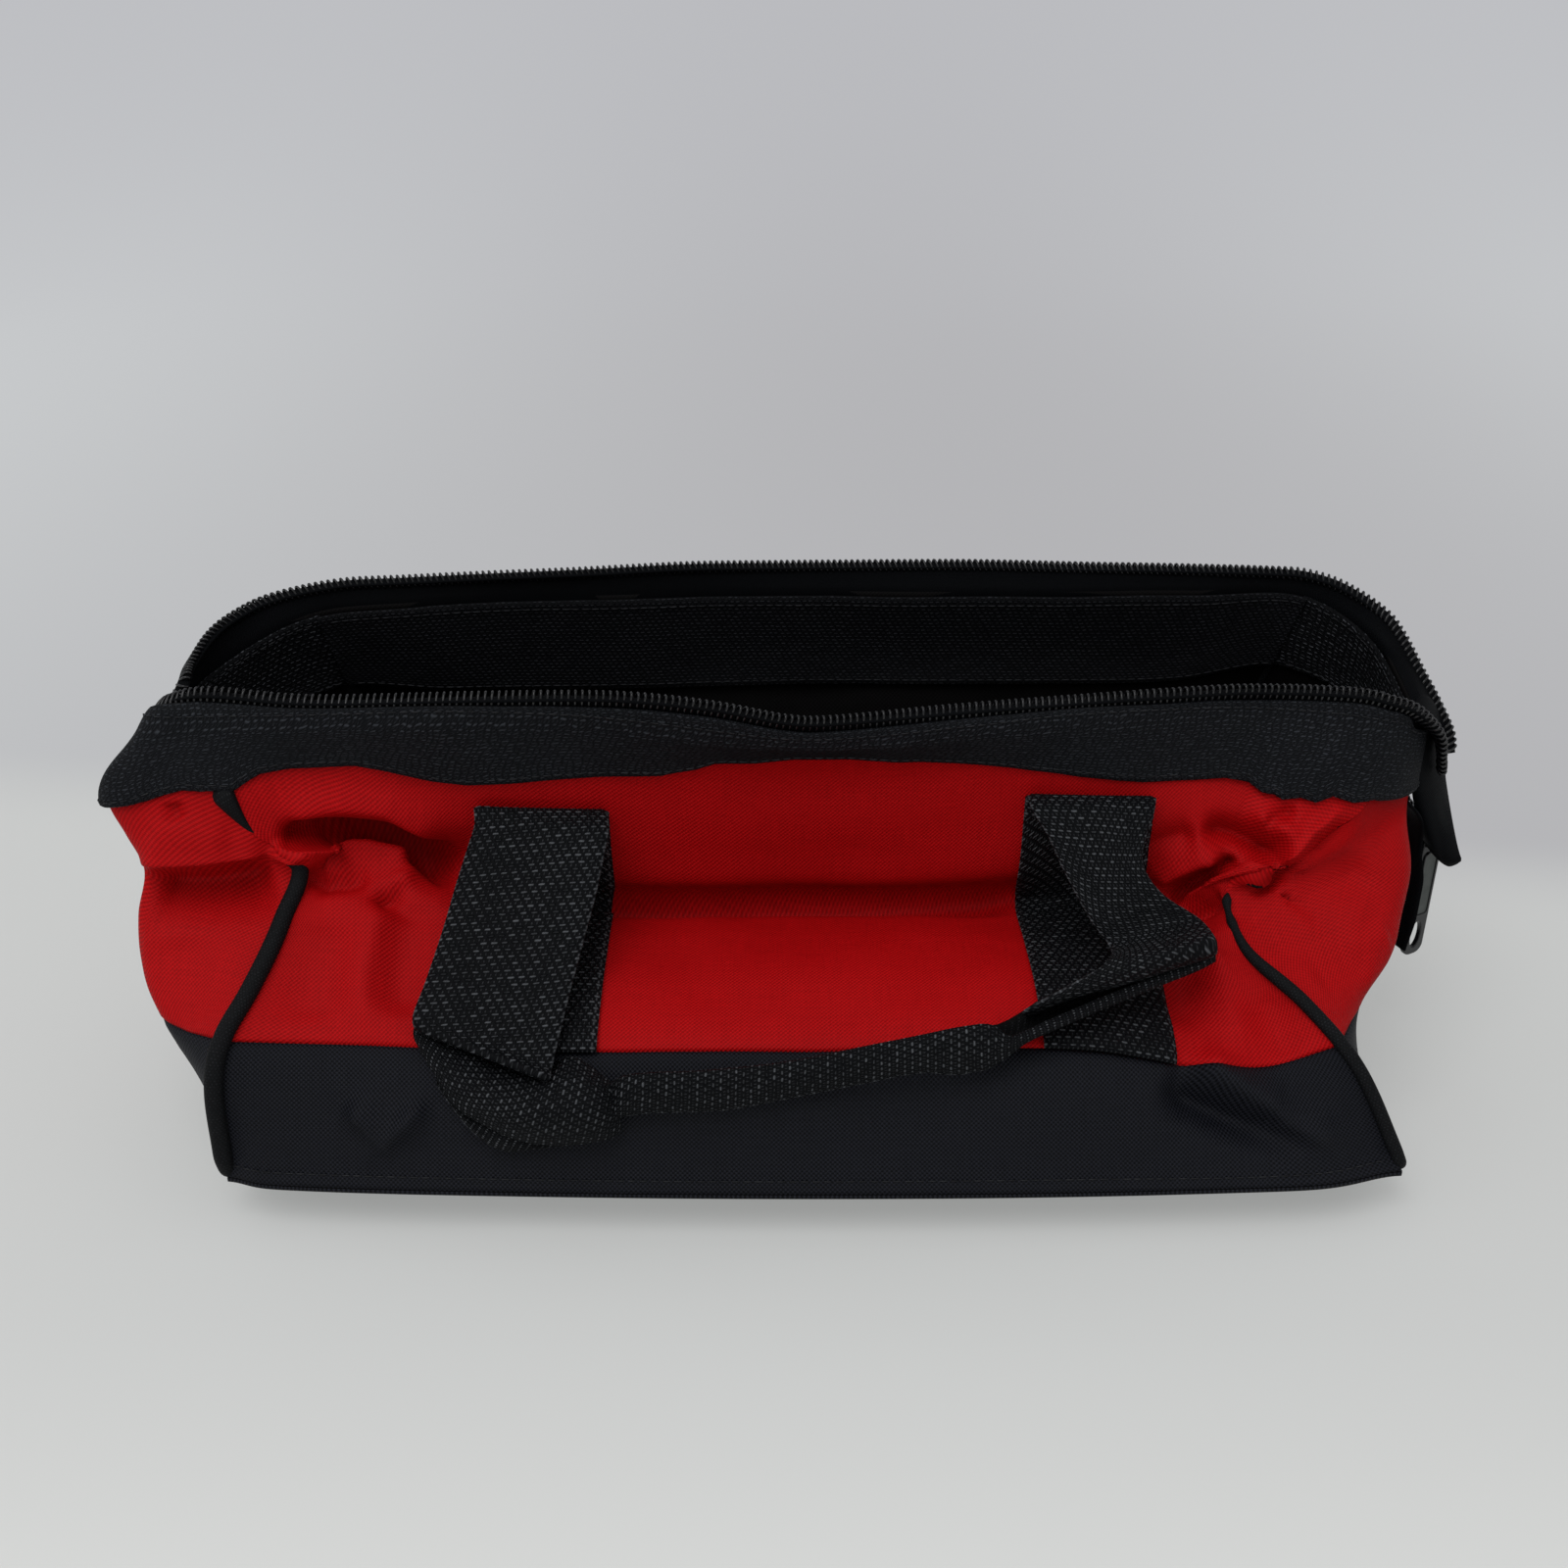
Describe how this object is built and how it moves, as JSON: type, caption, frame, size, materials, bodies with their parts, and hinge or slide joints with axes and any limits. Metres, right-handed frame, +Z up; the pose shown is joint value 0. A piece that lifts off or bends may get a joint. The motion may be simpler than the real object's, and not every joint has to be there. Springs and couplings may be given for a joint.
{
  "type": "tool bag",
  "caption": "Soft open-top tool bag of sewn fabric panels with a webbing-bound mouth, a zipper parked at one end, and webbing carry handles hanging front and rear.",
  "frame": {"origin": "on the floor under the middle of the base panel", "axes": "+X along the bag's length towards the end where the zipper is parked, +Y from the front wall to the rear wall, +Z up"},
  "size_m": [0.4134, 0.2288, 0.1369],
  "materials": {
    "base_board": "stiff board under a dark lining",
    "base_panel": "black coated polyester",
    "front_kick_panel": "black plain-weave polyester",
    "rear_kick_panel": "black plain-weave polyester",
    "left_end_kick_panel": "black plain-weave polyester",
    "right_end_kick_panel": "black plain-weave polyester",
    "front_panel": "red plain-weave polyester, black coated inside",
    "rear_panel": "red plain-weave polyester, black coated inside",
    "left_end_panel": "red plain-weave polyester, black coated inside",
    "right_end_panel": "red plain-weave polyester, black coated inside",
    "left_piping": "black covered cord",
    "right_piping": "black covered cord",
    "mouth_band_front": "black webbing",
    "mouth_band_rear": "black webbing",
    "inner_band_front": "black webbing",
    "inner_band_rear": "black webbing",
    "inner_band_left_end": "black webbing",
    "inner_band_right_end": "black webbing",
    "zip_tape_front": "black woven zipper tape",
    "zip_tape_rear": "black woven zipper tape",
    "zip_coil_front": "black nylon coil",
    "zip_coil_rear": "black nylon coil",
    "zip_tail": "black woven zipper tape",
    "zip_end_tape": "black woven zipper tape",
    "zip_end_coil": "black nylon coil, closed",
    "zip_end_stop": "dark metal clip",
    "zip_slider": "dark glossy metal",
    "zip_pull": "dark glossy metal",
    "front_strap_left": "black webbing",
    "front_strap_right": "black webbing",
    "rear_strap_left": "black webbing",
    "rear_strap_right": "black webbing",
    "front_handle": "black webbing",
    "rear_handle": "black webbing"
  },
  "bodies": {
    "bag": {"base_board": "base_board", "base_panel": "base_panel", "front_kick_panel": "front_kick_panel", "rear_kick_panel": "rear_kick_panel", "left_end_kick_panel": "left_end_kick_panel", "right_end_kick_panel": "right_end_kick_panel", "front_panel": "front_panel", "rear_panel": "rear_panel", "left_end_panel": "left_end_panel", "right_end_panel": "right_end_panel", "left_piping": "left_piping", "right_piping": "right_piping", "mouth_band_front": "mouth_band_front", "mouth_band_rear": "mouth_band_rear", "inner_band_front": "inner_band_front", "inner_band_rear": "inner_band_rear", "inner_band_left_end": "inner_band_left_end", "inner_band_right_end": "inner_band_right_end", "zip_tape_front": "zip_tape_front", "zip_tape_rear": "zip_tape_rear", "zip_coil_front": "zip_coil_front", "zip_coil_rear": "zip_coil_rear", "zip_tail": "zip_tail", "zip_end_tape": "zip_end_tape", "zip_end_coil": "zip_end_coil", "zip_end_stop": "zip_end_stop", "front_strap_left": "front_strap_left", "front_strap_right": "front_strap_right", "rear_strap_left": "rear_strap_left", "rear_strap_right": "rear_strap_right"},
    "front_carry_handle": {"front_handle": "front_handle"},
    "rear_carry_handle": {"rear_handle": "rear_handle"},
    "slider": {"zip_slider": "zip_slider"},
    "pull": {"zip_pull": "zip_pull"}
  },
  "joints": [
    {"name": "front_handle_swing", "type": "hinge", "parent": "bag", "child": "front_carry_handle", "pos_m": [0.00217, -0.03898, 0.08909], "axis": [-0.9985, -0.0544, -0.0008], "range_deg": [0, 115]},
    {"name": "rear_handle_swing", "type": "hinge", "parent": "bag", "child": "rear_carry_handle", "pos_m": [-0.0002, 0.05771, 0.0935], "axis": [0.9997, 0.0249, -0.0027], "range_deg": [0, 115]},
    {"name": "zip_slider_travel", "type": "slide", "parent": "bag", "child": "slider", "axis": [0, 0, -1], "range_m": [0, 0.018]},
    {"name": "zip_pull_swing", "type": "hinge", "parent": "slider", "child": "pull", "pos_m": [0.19677, -0.004, 0.06763], "axis": [0, -1, 0], "range_deg": [0, 25]}
  ]
}
